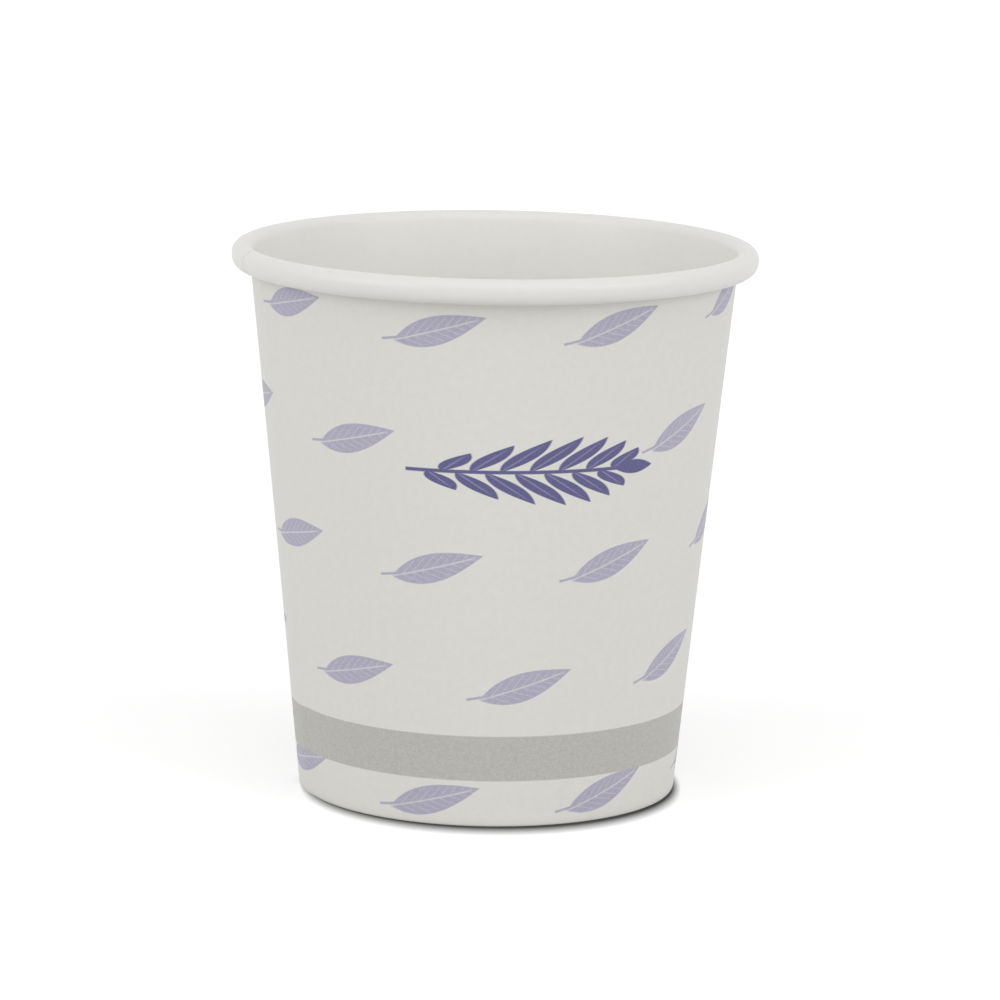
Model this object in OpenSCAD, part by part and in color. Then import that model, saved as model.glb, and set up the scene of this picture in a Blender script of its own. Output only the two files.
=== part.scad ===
// Paper cup of two board pieces: a wrapped sidewall with a rolled rim, and a drawn base disc.
// The base rests on z = 0 with its centre at the origin. +Z is up and the front is towards -Y.
// Sizes are in millimetres. Angles are in degrees, counter-clockwise from +X.

/* [Cup] */
// Diameter over the rolled rim
rim_d = 73; // [68:0.1:80]
// Diameter at which the outside of the wall would meet the ground
base_d = 52.4; // [48:0.1:58]
// Height from the ground to the top of the rim
cup_h = 76.6; // [65:0.1:95]
// Thickness of the sidewall board
wall_t = 0.3; // [0.25:0.01:0.4]

/* [Rolled rim] */
// Width of the rolled bead
bead_d = 3; // [2.8:0.1:3.8]
// Straight length of the bead's outer side, by which it is taller than wide
bead_side = 0.45; // [0.2:0.05:0.8]
// How much smaller the radius of the inner turn of the roll is
curl_step = 0.45; // [0.42:0.01:0.55]
// How far the board runs on round the inner turn, as an angle from the bottom of the bead
curl_tuck = 150; // [60:5:220]

/* [Side seam] */
// Direction of the inner edge of the lap, which shows on the rim
seam_angle = 199.4; // [0:0.1:360]
// Width of the lap
lap_angle = 12; // [9:0.5:15]
// How far beyond the inner edge the outer layer comes down to the wall
ramp_angle = 9; // [6:0.5:12]
// Width of the groove left along the inner edge
groove_angle = 0.5; // [0.3:0.1:1]
// Depth of that groove
groove_depth = 0.15; // [0.08:0.01:0.2]

/* [Heel] */
// Length of the turn-up inside the heel, above the fold
turn_up_len = 4.7; // [3.8:0.1:5.2]
// Coating film left between the sealed layers
film = 0.05; // [0.04:0.01:0.1]
// How far the fold is pressed flat where it stands
foot_press = 0.05; // [0.02:0.01:0.08]

/* [Base disc] */
// Thickness of the base board
base_t = 0.3; // [0.25:0.01:0.4]
// Height of the inside floor above the ground
floor_h = 6.5; // [6.3:0.1:9]
// Outside radius of the bend from the disc to its skirt
bend_r = 0.8; // [0.6:0.05:1.2]
// Gap between the edge of the skirt and the inside of the fold
skirt_gap = 0.4; // [0.3:0.05:0.8]

/* [Knurl] */
// Number of marks pressed round the inside of the heel
knurl_n = 80; // [36:4:84]
// Width of one mark
knurl_w = 0.9; // [0.6:0.1:1.1]
// Height of one mark
knurl_h = 2.6; // [2:0.1:3]
// Depth of one mark
knurl_depth = 0.12; // [0.08:0.01:0.14]

/* [Colours] */
// Colour of the sidewall board
wall_colour = "#e6e5df";
// Colour of the base board
base_colour = "#e2ded5";

/* [Hidden] */
$fn = 96;

// The wall is drawn upright in a frame of its own and then leaned outwards by the taper.
// In that frame x = 0 is the outside of the wall, -x is towards the axis and y runs up the wall.
bead_r = bead_d / 2;
curl_x = bead_r - wall_t;
curl_run = (rim_d - base_d) / 2 - bead_r;
curl_rise = cup_h - bead_r;
curl_reach = sqrt(curl_run ^ 2 + curl_rise ^ 2);
taper = acos(curl_x / curl_reach) - atan2(curl_rise, curl_run);
curl_y = sqrt(curl_reach ^ 2 - curl_x ^ 2);

// The heel's layers from outside to inside are wall, film, skirt, film and turn-up.
fold_r = wall_t + film + base_t / 2;
fold_y = (fold_r * (1 - sin(taper)) - foot_press) / cos(taper);
skirt_x = -wall_t - film;
skirt_y = fold_y - fold_r + wall_t + skirt_gap;
bend_x = skirt_x - bend_r;
bend_y = (floor_h - bend_r + bend_x * sin(taper)) / cos(taper);
bend_radius_at = base_d / 2 + bend_x * cos(taper) + bend_y * sin(taper);

// How deep one solid sinks into the next, so that they join without a shared face.
sink = wall_t / 2;
// How far a straight strip runs on into the bend it joins.
join = 0.02;
// Sideways shift of the cone that brings the outer layer of the lap down to the wall.
wall_mid_r = (rim_d + base_d) / 4;
ramp_shift = wall_t * wall_mid_r / (wall_t + wall_mid_r * (1 - cos(lap_angle + ramp_angle)));
// The lap's outer layer ends in the crevice between the wall and the roll.
lap_top_y = curl_y - bead_side - bead_r + wall_t / 2;
// Number of sides of the fan that cuts a ring to an arc. Each is less than a right angle wide.
fan_steps = 6;

// Puts flat shapes of the wall's own frame into the section plane, above the ground.
module lean() {
    intersection() {
        translate([base_d / 2, 0])
            rotate(-taper)
                children();
        square([rim_d, 2 * cup_h]);
    }
}

// Board bent on an arc about the origin: it runs clockwise from angle a0 through the sweep.
module bend_strip(r_out, t, a0, sweep) {
    intersection() {
        difference() {
            circle(r_out);
            circle(r_out - t);
        }
        polygon([
            [0, 0],
            for (i = [0:fan_steps])
                let (a = a0 - sweep * i / fan_steps)
                    3 * r_out * [cos(a), sin(a)]
        ]);
    }
}

// Strip bent round the bead: half a turn up and over, down its outer side and in below.
module bead_strip(r_out, t) {
    translate([curl_x, curl_y])
        bend_strip(r_out, t, 180, 180);
    translate([curl_x + r_out - t, curl_y - bead_side - join])
        square([t, bead_side + 2 * join]);
    translate([curl_x, curl_y - bead_side])
        bend_strip(r_out, t, 0, 91);
}

// Rolled rim: the board goes round the bead and then on in a smaller turn that ends inside it.
module rim_curl() {
    bead_strip(bead_r, wall_t);
    translate([curl_x, curl_y - bead_side - curl_step])
        bend_strip(bead_r - curl_step, wall_t, -90, curl_tuck);
}

// Folded heel: half a turn under the skirt and the turn-up inside it.
module heel_fold() {
    translate([-fold_r, fold_y])
        bend_strip(fold_r, wall_t, 0, 180);
    translate([-2 * fold_r, fold_y - join])
        square([wall_t, turn_up_len + join]);
}

module wall_section() {
    translate([-wall_t, fold_y - join])
        square([wall_t, curl_y - fold_y + 2 * join]);
    rim_curl();
    heel_fold();
}

// Outer layer of the lap: full thickness at its cut edge, then run out on the wall by a shifted cone.
// Its lower end is cut aslant where the board turns into the fold.
module lap_layer() {
    intersection() {
        rotate_extrude(angle = lap_angle + ramp_angle + 3, start = seam_angle - lap_angle)
            lean()
                polygon([
                    [-sink, fold_y],
                    [2 * wall_t, fold_y + 2 * wall_t],
                    [2 * wall_t, lap_top_y],
                    [-sink, lap_top_y]
                ]);
        rotate(seam_angle - lap_angle)
            translate([ramp_shift, 0, 0])
                rotate(90)
                    cylinder(
                        h = cup_h,
                        r1 = base_d / 2 + wall_t / cos(taper) - ramp_shift,
                        r2 = base_d / 2 + cup_h * tan(taper) + wall_t / cos(taper) - ramp_shift
                    );
    }
}

// The same layer on the turn-up, a little shorter because it has the longer way round the fold.
module turn_up_lap() {
    rotate_extrude(angle = lap_angle, start = seam_angle - lap_angle)
        lean()
            translate([-2 * fold_r - wall_t, fold_y + sink])
                square([wall_t + sink, turn_up_len - wall_t - sink]);
}

// Groove along the lap's inner edge, down the inside of the wall and over the bead.
module seam_groove() {
    rotate_extrude(angle = groove_angle, start = seam_angle)
        lean() {
            translate([-wall_t - sink, bend_y])
                square([sink + groove_depth, curl_y - bend_y + join]);
            bead_strip(bead_r + sink, sink + groove_depth);
        }
}

// Marks that the sealing wheel presses into the turn-up.
module knurl_marks() {
    for (i = [0:knurl_n - 1])
        rotate(i * 360 / knurl_n)
            translate([base_d / 2, 0, 0])
                rotate([0, taper, 0])
                    translate([-2 * fold_r - sink, -knurl_w / 2, fold_y + (turn_up_len - knurl_h) / 2])
                        cube([sink + knurl_depth, knurl_w, knurl_h]);
}

module sidewall() {
    color(wall_colour) {
        difference() {
            rotate_extrude()
                lean()
                    wall_section();
            seam_groove();
            knurl_marks();
        }
        lap_layer();
        turn_up_lap();
    }
}

// Flat disc with its edge drawn down into a skirt that follows the wall.
module base_disc() {
    color(base_colour)
        rotate_extrude() {
            lean() {
                translate([skirt_x - base_t, skirt_y])
                    square([base_t, bend_y - skirt_y + join]);
                translate([bend_x, bend_y])
                    bend_strip(bend_r, base_t, 90 + taper, 90 + taper);
            }
            translate([0, floor_h - base_t])
                square([bend_radius_at + join, base_t]);
        }
}

sidewall();
base_disc();
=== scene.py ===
import math
import bmesh
import bpy
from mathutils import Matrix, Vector


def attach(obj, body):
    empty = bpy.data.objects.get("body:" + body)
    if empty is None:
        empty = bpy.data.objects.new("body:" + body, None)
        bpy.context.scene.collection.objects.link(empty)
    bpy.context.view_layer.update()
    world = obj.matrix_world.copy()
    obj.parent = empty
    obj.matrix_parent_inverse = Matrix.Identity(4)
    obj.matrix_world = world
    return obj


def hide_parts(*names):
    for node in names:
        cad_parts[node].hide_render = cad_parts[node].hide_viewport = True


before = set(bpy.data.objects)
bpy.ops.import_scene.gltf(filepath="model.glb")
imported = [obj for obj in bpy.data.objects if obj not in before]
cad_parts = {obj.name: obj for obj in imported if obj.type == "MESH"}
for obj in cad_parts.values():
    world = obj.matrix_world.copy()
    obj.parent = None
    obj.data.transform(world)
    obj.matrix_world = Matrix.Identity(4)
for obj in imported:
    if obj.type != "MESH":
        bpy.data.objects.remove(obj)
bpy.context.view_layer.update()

mm = 0.001


def startFresh():
    # leaves edit mode and lets go of everything
    if bpy.context.object and bpy.context.object.mode != "OBJECT":
        bpy.ops.object.mode_set(mode="OBJECT")
    bpy.ops.object.select_all(action="DESELECT")


def pick(test, slot=None):
    # selects the vertices of the mesh in edit mode that pass the test, on all faces or one slot's
    mesh = bpy.context.edit_object.data
    bpy.ops.mesh.select_mode(type="VERT")
    bpy.ops.mesh.select_all(action="DESELECT")
    form = bmesh.from_edit_mesh(mesh)
    for vert in form.verts:
        onSlot = slot is None or any(face.material_index == slot for face in vert.link_faces)
        if onSlot and test(vert.co):
            vert.select_set(True)
    form.select_flush(True)
    bmesh.update_edit_mesh(mesh)


def azimuthOf(place):
    return math.degrees(math.atan2(place.y, place.x)) % 360


class Wire:
    # a shader value that Python's operators can work on
    def __init__(self, tree, socket):
        self.tree = tree
        self.socket = socket

    def node(self, kind, settings=None, output=0, **sockets):
        made = self.tree.nodes.new("ShaderNode" + kind)
        for name, value in (settings or {}).items():
            setattr(made, name, value)
        for name, value in sockets.items():
            # s0, s1 and s2 are the sockets of nodes whose sockets share a name
            target = made.inputs[int(name[1:]) if name[1:].isdigit() else name]
            if isinstance(value, Wire):
                self.tree.links.new(value.socket, target)
            else:
                target.default_value = value
        return Wire(self.tree, made.outputs[output])

    def maths(self, operation, other=None, clamp=False):
        sockets = {"s0": self}
        if other is not None:
            sockets["s1"] = other
        return self.node("Math", {"operation": operation, "use_clamp": clamp}, **sockets)

    def __add__(self, other):
        return self.maths("ADD", other)

    def __radd__(self, other):
        return self.maths("ADD", other)

    def __sub__(self, other):
        return self.maths("SUBTRACT", other)

    def __rsub__(self, other):
        return self.node("Math", {"operation": "SUBTRACT"}, s0=other, s1=self)

    def __mul__(self, other):
        return self.maths("MULTIPLY", other)

    def __truediv__(self, other):
        return self.maths("DIVIDE", other)

    def __abs__(self):
        return self.maths("ABSOLUTE")

    def edge(self, blur):
        # 1 inside, 0 outside, with a soft edge as wide as the blur
        settings = {"operation": "MULTIPLY_ADD", "use_clamp": True}
        return self.node("Math", settings, s0=self, s1=1 / blur, s2=0.5)

    def noise(self, scale, detail=2, rough=0.5):
        return self.node("TexNoise", Vector=self, Scale=scale, Detail=detail, Roughness=rough)

    def over(self, under, mask):
        # this colour on top of another one where the mask is 1
        made = self.tree.nodes.new("ShaderNodeMix")
        made.data_type = "RGBA"
        self.tree.links.new(mask.socket, made.inputs[0])
        for wire, place in ((under, 6), (self, 7)):
            self.tree.links.new(wire.socket, made.inputs[place])
        return Wire(self.tree, made.outputs[2])


def colour(red, green, blue):
    # screen values from 0 to 255 to the linear ones that shaders use
    def linear(value):
        part = value / 255
        return part / 12.92 if part <= 0.04045 else ((part + 0.055) / 1.055) ** 2.4
    return (linear(red), linear(green), linear(blue), 1.0)


# Sidewall: one blank, wrapped, lapped, rolled at the rim and folded in at the heel.
# Its section is drawn in the wall's own frame: x = 0 is the outside, y runs up the wall.
sheet = {
    "rimDiameter": 73 * mm,
    "baseDiameter": 52.4 * mm,
    "height": 76.6 * mm,
    "board": 0.3 * mm,
    "beadWidth": 3.0 * mm,
    "beadSide": 0.45 * mm,      # straight part of the bead's outer side
    "innerTurnStep": 0.45 * mm,
    "innerTurn": 150,           # degrees that the board runs on inside the roll
    "seam": 199.4,              # inner edge of the lap, in degrees from +X
    "lap": 12,
    "ramp": 6,                  # the outer layer comes down to the wall in this angle
    "crease": 0.35,             # and on the rim, where the seam is pressed level, in this one
    "column": 1.5,              # degrees between two columns of the mesh
    "heelLayers": 1.0 * mm,     # wall, skirt and turn-up together
    "press": 0.05 * mm,         # the fold is pressed flat by this where it stands
    "turnUp": 4.7 * mm,
    "glue": 0.02 * mm,
    "hollow": 0.08 * mm,        # the wall curves in a little between the stiff rim and heel
    "hollowStart": 7 * mm,
    "wallRows": (7, 13, 19, 25, 31, 37, 43, 49, 55, 61, 67, 72),
    "rollSteps": 12,
    "foldSteps": 8,
    "smoothAngle": 40,
}
knurl = {
    "low": 1.05 * mm,
    "high": 3.65 * mm,
    "rampHeight": 0.25 * mm,
    "pitch": 4.5,
    "turnUpDent": 0.12 * mm,
    "wallDent": 0.04 * mm,
}

board = sheet["board"]
baseRadius = sheet["baseDiameter"] / 2
beadRadius = sheet["beadWidth"] / 2
rollX = beadRadius - board
run = sheet["rimDiameter"] / 2 - baseRadius - beadRadius
rise = sheet["height"] - beadRadius
reach = math.hypot(run, rise)
taper = math.acos(rollX / reach) - math.atan2(rise, run)
rollY = math.sqrt(reach ** 2 - rollX ** 2)
foldRadius = sheet["heelLayers"] / 2
foldY = (foldRadius * (1 - math.sin(taper)) - sheet["press"]) / math.cos(taper)
lapStart = sheet["seam"] - sheet["lap"]
apex = baseRadius / math.sin(taper)     # radius of the flat blank where the wall meets the ground
beadFoot = sheet["height"] - sheet["beadWidth"] - sheet["beadSide"] - board


def leaned(x, y):
    # from the wall's own frame to a radius and a height
    radius = baseRadius + x * math.cos(taper) + y * math.sin(taper)
    return radius, y * math.cos(taper) - x * math.sin(taper)


def upright(place):
    # from a place on the cup back to the wall's own frame
    out = math.hypot(place.x, place.y) - baseRadius
    x = out * math.cos(taper) - place.z * math.sin(taper)
    return x, out * math.sin(taper) + place.z * math.cos(taper)


def arc(centreX, centreY, radius, start, sweep, steps):
    # points clockwise round a centre, without the first one
    turns = [math.radians(start - sweep * (i + 1) / steps) for i in range(steps)]
    return [(centreX + radius * math.cos(turn), centreY + radius * math.sin(turn)) for turn in turns]


def boardSection():
    # middle line of the board from the top of the turn-up round to the end inside the roll,
    # each point with its distance along the board from the bottom of the wall
    half = board / 2
    low, high, slope = knurl["low"], knurl["high"], knurl["rampHeight"]
    heelRows = [low - slope, low, (low + high) / 2, high, high + slope]
    inner = half - sheet["heelLayers"]
    points = [(inner, foldY + sheet["turnUp"])]
    points += [(inner, foldY + row) for row in reversed(heelRows)]
    points += [(inner, foldY)]
    points += arc(-foldRadius, foldY, foldRadius - half, 180, -180, sheet["foldSteps"])
    wallStart = len(points) - 1
    points += [(-half, foldY + row) for row in heelRows]
    for row in sheet["wallRows"]:
        share = (row * mm - sheet["hollowStart"]) / (rollY - sheet["hollowStart"])
        points.append((-half - sheet["hollow"] * math.sin(math.pi * share), row * mm))
    points += [(-half, rollY)]
    roll = beadRadius - half
    lowerY = rollY - sheet["beadSide"]
    points += arc(rollX, rollY, roll, 180, 180, sheet["rollSteps"])
    points += [(rollX + roll, lowerY)]
    points += arc(rollX, lowerY, roll, 0, 90, sheet["rollSteps"] // 2)
    step = sheet["innerTurnStep"]
    points += arc(rollX, lowerY - step, roll - step, -90, sheet["innerTurn"], sheet["rollSteps"] // 2)
    lengths = [0.0]
    for here, there in zip(points, points[1:]):
        lengths.append(lengths[-1] + math.dist(here, there))
    bottom = lengths[wallStart]
    return [(x, y, length - bottom + foldY) for (x, y), length in zip(points, lengths)]


def outwardSign():
    # 1 where the board's faces point away from the cup's axis on the wall, else -1
    form = bmesh.from_edit_mesh(bpy.context.edit_object.data)
    form.normal_update()
    middle = sheet["height"] / 2
    face = min(form.faces, key=lambda one: abs(one.calc_center_median().z - middle))
    centre = face.calc_center_median()
    return 1 if face.normal.x * centre.x + face.normal.y * centre.y > 0 else -1


def spinOn(angle):
    # carries the selected column round the cup; a positive angle of the operator turns clockwise
    steps = max(1, round(angle / sheet["column"]))
    bpy.ops.mesh.spin(steps=steps, angle=-math.radians(angle), center=(0, 0, 0), axis=(0, 0, 1))


def pickColumn(angle, above=-1.0, below=1.0):
    near = sheet["crease"] / 4
    pick(lambda place: above < place.z < below and abs(azimuthOf(place) - angle) < near)


def drawSection(section):
    # one corner of a small plane is the pen that draws the section where the lap starts
    turn = math.radians(lapStart)
    places = []
    for x, y, length in section:
        radius, height = leaned(x, y)
        places.append(Vector((radius * math.cos(turn), radius * math.sin(turn), height)))
    bpy.ops.mesh.primitive_plane_add(size=2 * mm, location=(0, 0, 0))
    cup = bpy.context.object
    cup.name = cup.data.name = "cupSheet"
    bpy.ops.object.mode_set(mode="EDIT")
    pick(lambda place: place.x > 0 or place.y > 0)
    bpy.ops.mesh.delete(type="VERT")
    bpy.ops.mesh.select_all(action="SELECT")
    bpy.ops.transform.translate(value=places[0] - Vector((-mm, -mm, 0)))
    for here, there in zip(places, places[1:]):
        bpy.ops.mesh.extrude_region_move(TRANSFORM_OT_translate={"value": there - here})
    print("section drawn with", len(places), "points")
    return cup


def wrapBlank():
    # the outer layer of the lap lies off by the thickness of the inner one
    bpy.ops.mesh.select_all(action="SELECT")
    spinOn(sheet["lap"])
    sign = outwardSign()
    lift = sign * (board + sheet["glue"])
    bpy.ops.mesh.select_all(action="SELECT")
    bpy.ops.transform.shrink_fatten(value=lift)

    # beyond the inner edge it comes down to the wall, column by column
    pickColumn(sheet["seam"])
    steps = round(sheet["ramp"] / sheet["column"])
    turns = [0, sheet["crease"]] + [sheet["column"] * (i + 1) for i in range(steps)]
    heights = [0.5 + 0.5 * math.cos(math.pi * turn / sheet["ramp"]) for turn in turns]
    for i in range(1, len(turns)):
        spinOn(turns[i] - turns[i - 1])
        bpy.ops.transform.shrink_fatten(value=lift * (heights[i] - heights[i - 1]))
    spinOn(360 - sheet["ramp"])

    # on the rim it is pressed level right beside the edge
    for turn, height in zip(turns[1:-1], heights[1:-1]):
        pickColumn(sheet["seam"] + turn, above=beadFoot)
        bpy.ops.transform.shrink_fatten(value=-lift * height)

    # under the heel the layers are pressed together, level with the rest of the fold
    foldTop = foldRadius - sheet["press"]
    foldDepth = foldRadius - board / 2
    lapSteps = round(sheet["lap"] / sheet["column"])
    lapped = [(i * sheet["column"] - sheet["lap"], 1) for i in range(lapSteps)]
    for turn, height in lapped + list(zip(turns, heights)):
        pickColumn(sheet["seam"] + turn, below=foldTop)
        share = foldDepth / (foldDepth + abs(lift) * height)
        bpy.ops.transform.resize(value=(1, 1, share), center_override=(0, 0, foldTop))
    if sign < 0:
        bpy.ops.mesh.select_all(action="SELECT")
        bpy.ops.mesh.flip_normals()
    print("blank wrapped and lapped")


def pressKnurl():
    # marks of the sealing wheel in the printed side: deep in the turn-up, faint on the wall
    margin = knurl["rampHeight"] / 2
    low = foldY + knurl["low"] - margin
    high = foldY + knurl["high"] + margin
    pitch = knurl["pitch"]

    def marked(place, onWall):
        x, y = upright(place)
        if not low < y < high or (x > -foldRadius) != onWall:
            return False
        return abs((azimuthOf(place) + pitch / 2) % pitch - pitch / 2) < sheet["column"] / 2

    for onWall, dent in ((True, -knurl["wallDent"]), (False, knurl["turnUpDent"])):
        pick(lambda place: marked(place, onWall), slot=0)
        share = 1 + dent / baseRadius
        bpy.ops.transform.resize(value=(share, share, 1), center_override=(0, 0, 0))


def mapBlank(cup, section):
    # lays the wrapped board out flat, as the fan-shaped blank it was printed on
    fan = math.sin(taper)
    lined = [(*leaned(x, y), length) for x, y, length in section]

    def alongBoard(place):
        radius = math.hypot(place.x, place.y)
        nearest = None
        for (r0, z0, length0), (r1, z1, length1) in zip(lined, lined[1:]):
            dr, dz = r1 - r0, z1 - z0
            share = ((radius - r0) * dr + (place.z - z0) * dz) / (dr * dr + dz * dz)
            share = min(1, max(0, share))
            off = math.hypot(radius - r0 - share * dr, place.z - z0 - share * dz)
            if nearest is None or off < nearest[0]:
                nearest = (off, length0 + share * (length1 - length0))
        return nearest[1]

    mesh = cup.data
    layer = mesh.uv_layers.new(name="blank")
    lengths = [alongBoard(vert.co) for vert in mesh.vertices]
    turns = [(azimuthOf(vert.co) - lapStart + sheet["column"] / 4) % 360 for vert in mesh.vertices]
    for face in mesh.polygons:
        # a face across the start of the round counts on beyond the full circle
        closing = max(turns[i] for i in face.vertices) - min(turns[i] for i in face.vertices) > 180
        for loop in face.loop_indices:
            i = mesh.loops[loop].vertex_index
            around = turns[i] + (360 if closing and turns[i] < 180 else 0)
            phi = math.radians(around + lapStart - 270) * fan
            away = apex + lengths[i]
            layer.data[loop].uv = (away * math.sin(phi), away * math.cos(phi))


def makeSheet():
    startFresh()
    section = boardSection()
    cup = drawSection(section)
    wrapBlank()
    bpy.ops.object.mode_set(mode="OBJECT")
    mapBlank(cup, section)

    # slot 0 is the printed outside, 1 the coated inside, 2 the cut edges
    # the coated inside, with painted shade on the rolled rim
    inside = coatedBoard("coatedBoard", coated["inside"], coated["rolled"])
    for finish in (printedBoard(), inside, cutBoard()):
        cup.data.materials.append(finish)
    solid = cup.modifiers.new("board", "SOLIDIFY")
    solid.thickness = board
    solid.offset = 0
    solid.use_even_offset = True
    solid.material_offset = 1
    solid.material_offset_rim = 2
    bpy.ops.object.modifier_apply(modifier=solid.name)

    # the fold is pressed flat where the cup stands
    bpy.ops.object.mode_set(mode="EDIT")
    pressKnurl()
    pick(lambda place: place.z < 0)
    bpy.ops.transform.resize(value=(1, 1, 0), center_override=(0, 0, 0))
    bpy.ops.object.mode_set(mode="OBJECT")
    bpy.ops.object.shade_smooth_by_angle(angle=math.radians(sheet["smoothAngle"]))
    print("sidewall has", len(cup.data.polygons), "faces")
    return cup


# Print on the outside. Lengths are millimetres on the flat blank.
inks = {
    "white": (225, 224, 219),
    "grey": (188, 187, 182),
    "lavender": (176, 173, 192),
    "violet": (93, 90, 136),
    "violetLight": (139, 136, 172),
    "blur": 0.14,
    "whiteClouds": 0.09,
    "grain": 5.5,               # specks of ink per millimetre
    "mottle": 1.6,              # larger spots per millimetre
    "mottleShare": 0.4,
    "lavenderGrain": 0.6,       # how strongly the grain shows in each ink
    "violetGrain": 1.1,
    "lightGrain": 0.6,
    "greyGrain": 0.65,
}
band = {"low": 6.55, "high": 12.9}
leaf = {
    "pitchAcross": 25,
    "pitchUp": 16.5,
    "firstUp": 3.6,
    "tilt": 17,
    "length": 13.4,
    "width": 3.9,
    "blunt": 0.28,              # the widest part lies this much nearer the stalk
    "stalk": 1.6,
    "stalkWidth": 0.34,
    "veinGap": 1.45,
    "veinWidth": 0.2,
    "veinLight": 0.7,
    "midribEnd": 0.8,           # share of the half length where the midrib fades out
    "midribFade": 0.2,
    "ribSlope": 1.5,            # how far a side vein runs forward for each step outwards
    "ribReach": 0.85,           # share of the half width that it reaches
    "ribFade": 0.3,
    "ribStrength": 0.55,
}
frond = {
    "across": 5.3,
    "up": 50,
    "length": 33,
    "leafLength": 8.7,
    "leafWidth": 1.95,
    "gap": 4.0,
    "angle": 33,
    "stemWidth": 0.5,
    "tipLength": 6.5,
    "veinWidth": 0.16,
    "veinEnd": 0.75,
    "veinFade": 0.3,
    "shrink": 0.85,             # loss of leaf length from the middle to the ends
    "leafBlunt": 0.25,
    "leafFullness": 2.2,
    "leafyShare": 0.93,         # share of the half length that carries leaves
    "leafTip": 0.999,           # a leaf stops where its own share reaches this
    "tipSink": 1,               # the leaf at the tip starts this far back on the stem
    "stemShift": 0.5,
    "room": (24, 7.5),          # no small leaf has its middle nearer than this
}

# The board itself. Bump depths are in metres.
pulp = {
    "clouds": (0.9, 3, 0.6),    # spots per millimetre, detail and roughness of the noise
    "fibres": (4.5, 4, 0.65),
    "alongRound": (0.35, 1, 1), # the outside's fibres are drawn out along the cup's round
}
printed = {
    "rough": 0.56,
    "inkSmooth": 0.06,          # ink is smoother by this
    "roughClouds": 0.15,
    "bump": 0.25,
    "bumpDepth": 0.02 * mm,
    "bumpClouds": 1.5,
    "bumpFibres": 0.7,
}
coated = {
    "inside": (237, 236, 232),
    # painted shade: the rolled rim's colour, a little greyer than the inside
    "rolled": (229, 228, 225),
    "base": (221, 217, 209),
    "rolledFrom": 0.5,          # millimetres along the board beyond the start of the roll
    "rolledBlur": 1.2,
    "clouds": 0.05,
    "fibres": 0.02,
    "rough": 0.42,
    "roughClouds": 0.2,
    "film": 0.06,
    "filmRough": 0.3,
    "bump": 0.2,
    "bumpDepth": 0.02 * mm,
    "bumpClouds": 1.8,
    "bumpFibres": 0.4,
}
cut = {
    "colour": (226, 223, 215),
    "clouds": 0.08,
    "fibres": 0.15,
    "rough": 0.9,
    "bump": 0.5,
    "bumpDepth": 0.03 * mm,
    "bumpClouds": 0,
    "bumpFibres": 1,
}


def newMaterial(name):
    material = bpy.data.materials.new(name)
    material.use_nodes = True
    tree = material.node_tree
    return material, tree.nodes["Principled BSDF"], Wire(tree, None)


def plug(wire, shader, name):
    wire.tree.links.new(wire.socket, shader.inputs[name])


def tinted(start, values, amount):
    # an even colour that the amount makes lighter and darker
    return start.node("VectorMath", {"operation": "SCALE"}, s0=colour(*values)[:3], Scale=amount + 1.0)


def fibres(place, stretch=(1, 1, 1)):
    # board seen close: soft clouds where the pulp lies thicker, and single fibres
    cloud = place.noise(*pulp["clouds"]) - 0.5
    fibre = place.node("Mapping", Vector=place, Scale=stretch).noise(*pulp["fibres"]) - 0.5
    return cloud, fibre


def addRelief(shader, start, finish, cloud, fibre):
    height = cloud * finish["bumpClouds"] + fibre * finish["bumpFibres"]
    relief = start.node("Bump", Strength=finish["bump"], Distance=finish["bumpDepth"], Height=height)
    plug(relief, shader, "Normal")


def smallLeaves(x, y):
    # leaves in staggered rows, with a light midrib and side veins
    up = y - (apex / mm + leaf["firstUp"])
    across = x - frond["across"]
    row = (up / leaf["pitchUp"]).maths("ROUND")
    stagger = (row * 0.5 + 0.5).maths("FRACT")
    column = (across / leaf["pitchAcross"] - stagger).maths("ROUND")
    middleX = (column + stagger) * leaf["pitchAcross"]
    middleY = row * leaf["pitchUp"]
    tilt = math.radians(leaf["tilt"])
    cosine, sine = math.cos(tilt), math.sin(tilt)
    along = (across - middleX) * cosine + (up - middleY) * sine
    off = (up - middleY) * cosine - (across - middleX) * sine
    side = abs(off)
    share = along / (leaf["length"] / 2)
    half = (1 - share * share) * (1 - share * leaf["blunt"]) * (leaf["width"] / 2)
    blade = (half - side).edge(inks["blur"])
    bend = off - share * share * leaf["stalkWidth"]
    stalk = (leaf["stalkWidth"] / 2 - abs(bend)).edge(inks["blur"])
    stalk = stalk * (leaf["stalk"] - abs(along + leaf["length"] / 2)).edge(inks["blur"])
    midrib = (leaf["veinWidth"] / 2 - side).edge(inks["blur"])
    midrib = midrib * (leaf["midribEnd"] - share).edge(leaf["midribFade"])
    rib = ((along - side * leaf["ribSlope"]) / leaf["veinGap"]).maths("FRACT") - 0.5
    ribs = (leaf["veinWidth"] / 2 - abs(rib) * leaf["veinGap"]).edge(inks["blur"])
    ribs = ribs * (half * leaf["ribReach"] - side).edge(leaf["ribFade"])
    veins = midrib.maths("MAXIMUM", ribs * leaf["ribStrength"])
    roomX, roomY = frond["room"]
    frondY = frond["up"] / math.cos(taper) - leaf["firstUp"]
    taken = (roomX - abs(middleX)).edge(inks["blur"])
    taken = taken * (roomY - abs(middleY - frondY)).edge(inks["blur"])
    return (blade * (1 - veins * leaf["veinLight"])).maths("MAXIMUM", stalk) * (1 - taken)


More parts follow.
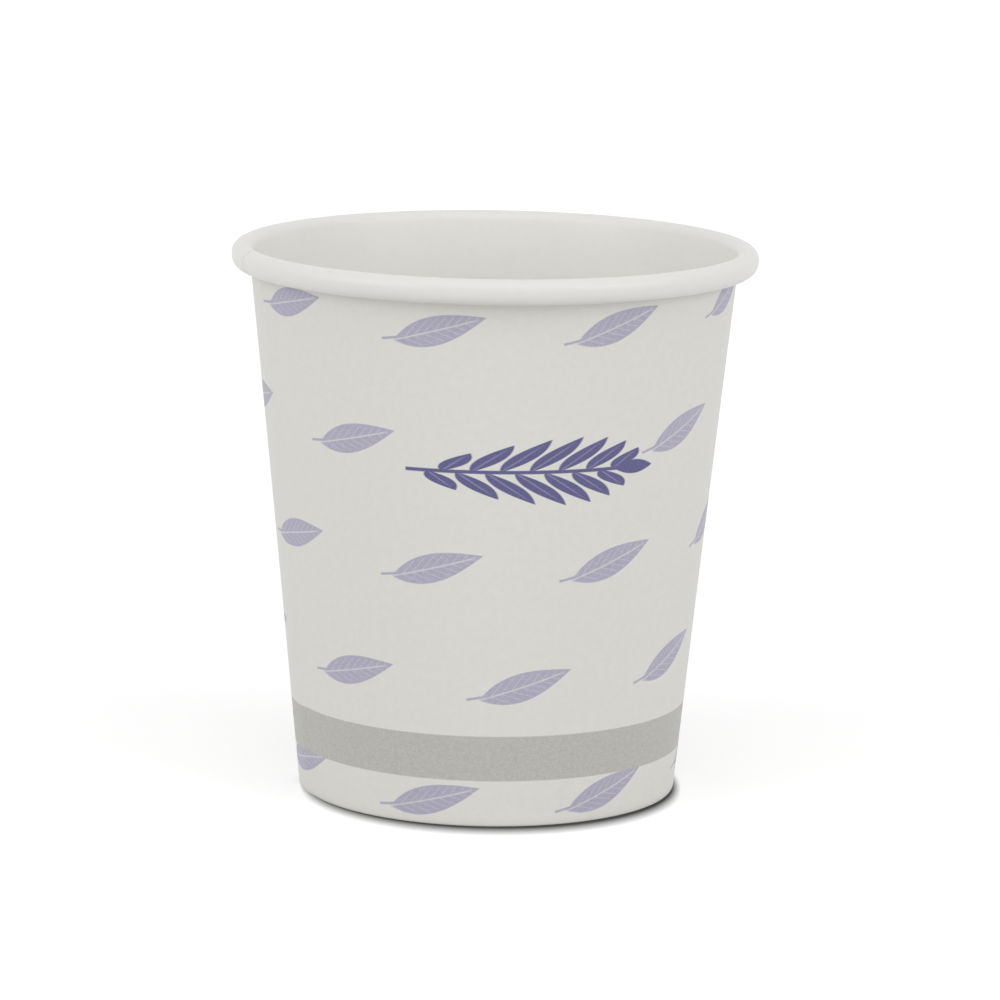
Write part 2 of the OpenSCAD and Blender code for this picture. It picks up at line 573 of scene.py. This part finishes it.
def largeFrond(angle, up):
    # a stem along the cup's round with a leaf on each side in turn; also returns its light veins
    middle = frond["up"] / math.cos(taper)
    along = angle * (apex / mm + middle) - frond["across"]
    off = up - middle
    side = abs(off)
    slant = math.radians(frond["angle"])
    sine = math.sin(slant)
    below = off.maths("LESS_THAN", 0.0)
    root = along - side * (math.cos(slant) / sine) + below * (frond["gap"] / 2)
    leafRoot = (root / frond["gap"]).maths("ROUND") * frond["gap"]
    endShare = leafRoot / (frond["length"] / 2)
    length = (1 - endShare * endShare * frond["shrink"]) * frond["leafLength"]
    share = (side / sine / length).maths("MINIMUM", 1.0)
    fullness = frond["leafWidth"] * frond["leafFullness"]
    half = share * (1 - share) * (1 - share * frond["leafBlunt"]) * fullness
    aside = abs(root - leafRoot) * sine
    grown = abs(endShare).maths("LESS_THAN", frond["leafyShare"])
    grown = grown * share.maths("LESS_THAN", frond["leafTip"])
    blade = (half - aside).edge(inks["blur"]) * grown
    tipShare = (along - frond["length"] / 2 + frond["tipSink"]) / (frond["tipLength"] / 2)
    tip = ((1 - tipShare * tipShare) * (frond["leafWidth"] / 2) - side).edge(inks["blur"])
    stem = (frond["stemWidth"] / 2 - side).edge(inks["blur"])
    stem = stem * (frond["length"] / 2 - abs(along + frond["stemShift"])).edge(inks["blur"])
    vein = (frond["veinWidth"] / 2 - aside).edge(inks["blur"])
    vein = vein * (frond["veinEnd"] - share).edge(frond["veinFade"]) * grown
    vein = vein * (side - frond["stemWidth"] / 2).edge(inks["blur"])
    return blade.maths("MAXIMUM", tip).maths("MAXIMUM", stem), vein


def onBlank(start):
    # millimetres on the flat blank, and how far that is along the board from the ground
    metres = start.node("UVMap", {"uv_map": "blank"})
    flat = start.node("VectorMath", {"operation": "SCALE"}, s0=metres, Scale=1 / mm)
    return flat, flat.node("VectorMath", {"operation": "LENGTH"}, output=1, s0=flat) - apex / mm


def printedBoard():
    material, shader, start = newMaterial("printedBoard")
    flat, up = onBlank(start)
    x = flat.node("SeparateXYZ", output=0, Vector=flat)
    y = flat.node("SeparateXYZ", output=1, Vector=flat)
    angle = x.maths("ARCTAN2", y)
    height = up * math.cos(taper)

    leaves = smallLeaves(x, y)
    sprig, veins = largeFrond(angle, up)
    stripe = (height - band["low"]).edge(inks["blur"]) * (band["high"] - height).edge(inks["blur"])

    cloud, fibre = fibres(flat, pulp["alongRound"])
    uneven = cloud * inks["whiteClouds"] + fibre * (inks["whiteClouds"] / 2)
    specks = flat.noise(inks["grain"]) - 0.5
    mottle = flat.noise(inks["mottle"]) - 0.5
    grain = specks + mottle * inks["mottleShare"]
    white = tinted(start, inks["white"], uneven)
    lavender = tinted(start, inks["lavender"], uneven + grain * inks["lavenderGrain"])
    violet = tinted(start, inks["violet"], uneven + grain * inks["violetGrain"])
    light = tinted(start, inks["violetLight"], uneven + grain * inks["lightGrain"])
    grey = tinted(start, inks["grey"], uneven + grain * inks["greyGrain"])
    face = lavender.over(white, leaves)
    face = light.over(violet, veins).over(face, sprig)
    face = grey.over(face, stripe)
    plug(face, shader, "Base Color")

    inked = leaves.maths("MAXIMUM", sprig).maths("MAXIMUM", stripe)
    rough = printed["rough"] - inked * printed["inkSmooth"] + cloud * printed["roughClouds"]
    plug(rough, shader, "Roughness")
    addRelief(shader, start, printed, cloud, fibre)
    return material


def boardPlace(start):
    # millimetres on the object itself
    place = start.node("TexCoord", output=3)
    return start.node("VectorMath", {"operation": "SCALE"}, s0=place, Scale=1 / mm)


def coatedBoard(name, board, rolledBoard=None):
    # the thin plastic film makes it smoother and a little glossier than the outside
    material, shader, start = newMaterial(name)
    cloud, fibre = fibres(boardPlace(start))
    uneven = cloud * coated["clouds"] + fibre * coated["fibres"]
    face = tinted(start, board, uneven)
    if rolledBoard:
        # painted shade: the rolled rim is painted a little greyer than the rest of the inside
        beyond = onBlank(start)[1] - (rollY / mm + coated["rolledFrom"])
        face = tinted(start, rolledBoard, uneven).over(face, beyond.edge(coated["rolledBlur"]))
    plug(face, shader, "Base Color")
    plug(coated["rough"] + cloud * coated["roughClouds"], shader, "Roughness")
    shader.inputs["Coat Weight"].default_value = coated["film"]
    shader.inputs["Coat Roughness"].default_value = coated["filmRough"]
    addRelief(shader, start, coated, cloud, fibre)
    return material


def cutBoard():
    # raw fibres where the blank was cut
    material, shader, start = newMaterial("cutBoard")
    cloud, fibre = fibres(boardPlace(start))
    uneven = cloud * cut["clouds"] + fibre * cut["fibres"]
    plug(tinted(start, cut["colour"], uneven), shader, "Base Color")
    shader.inputs["Roughness"].default_value = cut["rough"]
    addRelief(shader, start, cut, cloud, fibre)
    return material


cup = makeSheet()
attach(cup, "root")
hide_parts("sidewall")

# Base disc: the CAD solid has the right shape and only needs its board.
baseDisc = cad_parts["base_disc"]
baseDisc.data.materials.clear()
baseDisc.data.materials.append(coatedBoard("baseBoard", coated["base"]))
print("board and print done")

# Studio: a white sweep with a painted contact shadow round the heel, an even sky, one soft lamp above
# the front and one on each side.
studio = {
    "floorSize": 6.0,
    "floorColour": (235, 235, 235),
    "floorShare": 0.9,          # of that light comes back to the cup
    "glow": 0.34,               # lifts the floor to white for the camera alone
    "farGlow": 0.13,            # a little more where the lamps don't reach
    "farStart": 0.15,
    "farWidth": 0.4,
    "paintedShadowPlace": (0.5 * mm, -1.1 * mm, 0),
    "paintedShadowStart": 25.6 * mm,  # painted contact shadow: a soft dark line where the heel meets the floor
    "paintedShadowWidth": 4.6 * mm,
    "paintedShadowSide": 0.27,        # share of that width at the sides
    "paintedShadowDark": 0.07,        # brightness left in it
    "skyLevel": 0.66,
    "lamps": (                  # name, place, target, size and power
        ("top", (0, -0.5, 0.87), (0, 0, 0.04), 0.8, 1.05),
        ("left", (-0.85, -0.55, 0.5), (0, 0, 0.04), 0.7, 2.4),
        ("right", (0.85, -0.55, 0.5), (0, 0, 0.04), 0.7, 2.5),
    ),
}


def seenDirectly(start):
    # 1 for rays of the camera, of mirrors and of glass
    rays = [start.node("LightPath", output=i) for i in (0, 3, 6)]
    return rays[0].maths("MAXIMUM", rays[1]).maths("MAXIMUM", rays[2])


def makeFloor():
    startFresh()
    bpy.ops.mesh.primitive_plane_add(size=studio["floorSize"], location=(0, 0, 0))
    floor = bpy.context.object
    floor.name = "floor"
    material, shader, start = newMaterial("sweep")
    place = start.node("TexCoord", output=3)
    radius = start.node("VectorMath", {"operation": "LENGTH"}, output=1, s0=place)
    # painted contact shadow: a ring round the heel darkens the floor's colour for direct rays, wide at
    # the front and back, narrow at the sides
    shifted = start.node("VectorMath", {"operation": "SUBTRACT"}, s0=place, s1=studio["paintedShadowPlace"])
    away = start.node("VectorMath", {"operation": "LENGTH"}, output=1, s0=shifted)
    squash = (studio["paintedShadowSide"], 1, 0)
    squashed = start.node("VectorMath", {"operation": "MULTIPLY"}, s0=shifted, s1=squash)
    depth = start.node("VectorMath", {"operation": "LENGTH"}, output=1, s0=squashed)
    off = (away - studio["paintedShadowStart"]) * away / depth
    paintedShadow = off.maths("DIVIDE", studio["paintedShadowWidth"], clamp=True)
    paintedShadow = paintedShadow * (1 - studio["paintedShadowDark"]) + studio["paintedShadowDark"]
    far = (radius - studio["farStart"]).maths("DIVIDE", studio["farWidth"], clamp=True)
    seen = seenDirectly(start)
    white = colour(*studio["floorColour"])[:3]
    lit = seen * (paintedShadow - studio["floorShare"]) + studio["floorShare"]
    shaded = start.node("VectorMath", {"operation": "SCALE"}, s0=white, Scale=lit)
    plug(shaded, shader, "Base Color")
    # the painted contact shadow darkens the glow as well
    glow = (far * studio["farGlow"] + studio["glow"]) * paintedShadow
    glowing = start.node("VectorMath", {"operation": "SCALE"}, s0=(1, 1, 1), Scale=glow)
    plug(glowing, shader, "Emission Color")
    plug(seen, shader, "Emission Strength")
    shader.inputs["Roughness"].default_value = 1.0
    shader.inputs["Specular IOR Level"].default_value = 0.0
    floor.data.materials.append(material)


def makeSky():
    world = bpy.data.worlds.new("sky")
    bpy.context.scene.world = world
    world.use_nodes = True
    tree = world.node_tree
    start = Wire(tree, None)
    background = tree.nodes["Background"]
    background.inputs["Color"].default_value = (1, 1, 1, 1)
    plug(seenDirectly(start) * (1 - studio["skyLevel"]) + studio["skyLevel"], background, "Strength")


def makeLamps():
    for name, place, target, size, power in studio["lamps"]:
        startFresh()
        bpy.ops.object.light_add(type="AREA", location=place)
        lamp = bpy.context.object
        lamp.name = name
        lamp.data.shape = "DISK"
        lamp.data.size = size
        lamp.data.energy = power
        aim = Vector(target) - Vector(place)
        lamp.rotation_euler = aim.to_track_quat("-Z", "Y").to_euler()


# Camera from the fit to the rim, the outline and the base in the picture.
view = {
    "distance": 730 * mm,
    "elevation": 10.82,
    "roll": 0.894,
    "lens": 187.95,
    "sensor": 36,
    "clipEnd": 20,
    "aimRight": 1.233 * mm,
    "aimUp": 2.07 * mm,
}


def makeCamera():
    startFresh()
    bpy.ops.object.camera_add(location=(0, 0, 0))
    camera = bpy.context.object
    camera.name = "camera"
    camera.data.lens = view["lens"]
    camera.data.sensor_width = view["sensor"]
    camera.data.clip_end = view["clipEnd"]
    up = math.radians(view["elevation"])
    roll = math.radians(view["roll"])
    ahead = Vector((0, math.cos(up), -math.sin(up)))
    level = Vector((1, 0, 0))
    above = level.cross(ahead)
    right = level * math.cos(roll) + above * math.sin(roll)
    top = above * math.cos(roll) - level * math.sin(roll)
    middle = Vector((0, 0, sheet["height"] / 2))
    camera.location = middle - ahead * view["distance"]
    aim = (middle + right * view["aimRight"] + top * view["aimUp"] - camera.location).normalized()
    top = (top - aim * top.dot(aim)).normalized()
    right = aim.cross(top)
    turn = camera.matrix_world.to_3x3()
    for i in range(3):
        turn[i][0], turn[i][1], turn[i][2] = right[i], top[i], -aim[i]
    camera.rotation_euler = turn.to_euler()
    bpy.context.scene.camera = camera


makeFloor()
makeSky()
makeLamps()
makeCamera()
bpy.context.scene.view_settings.view_transform = "Standard"
print("studio and camera done")
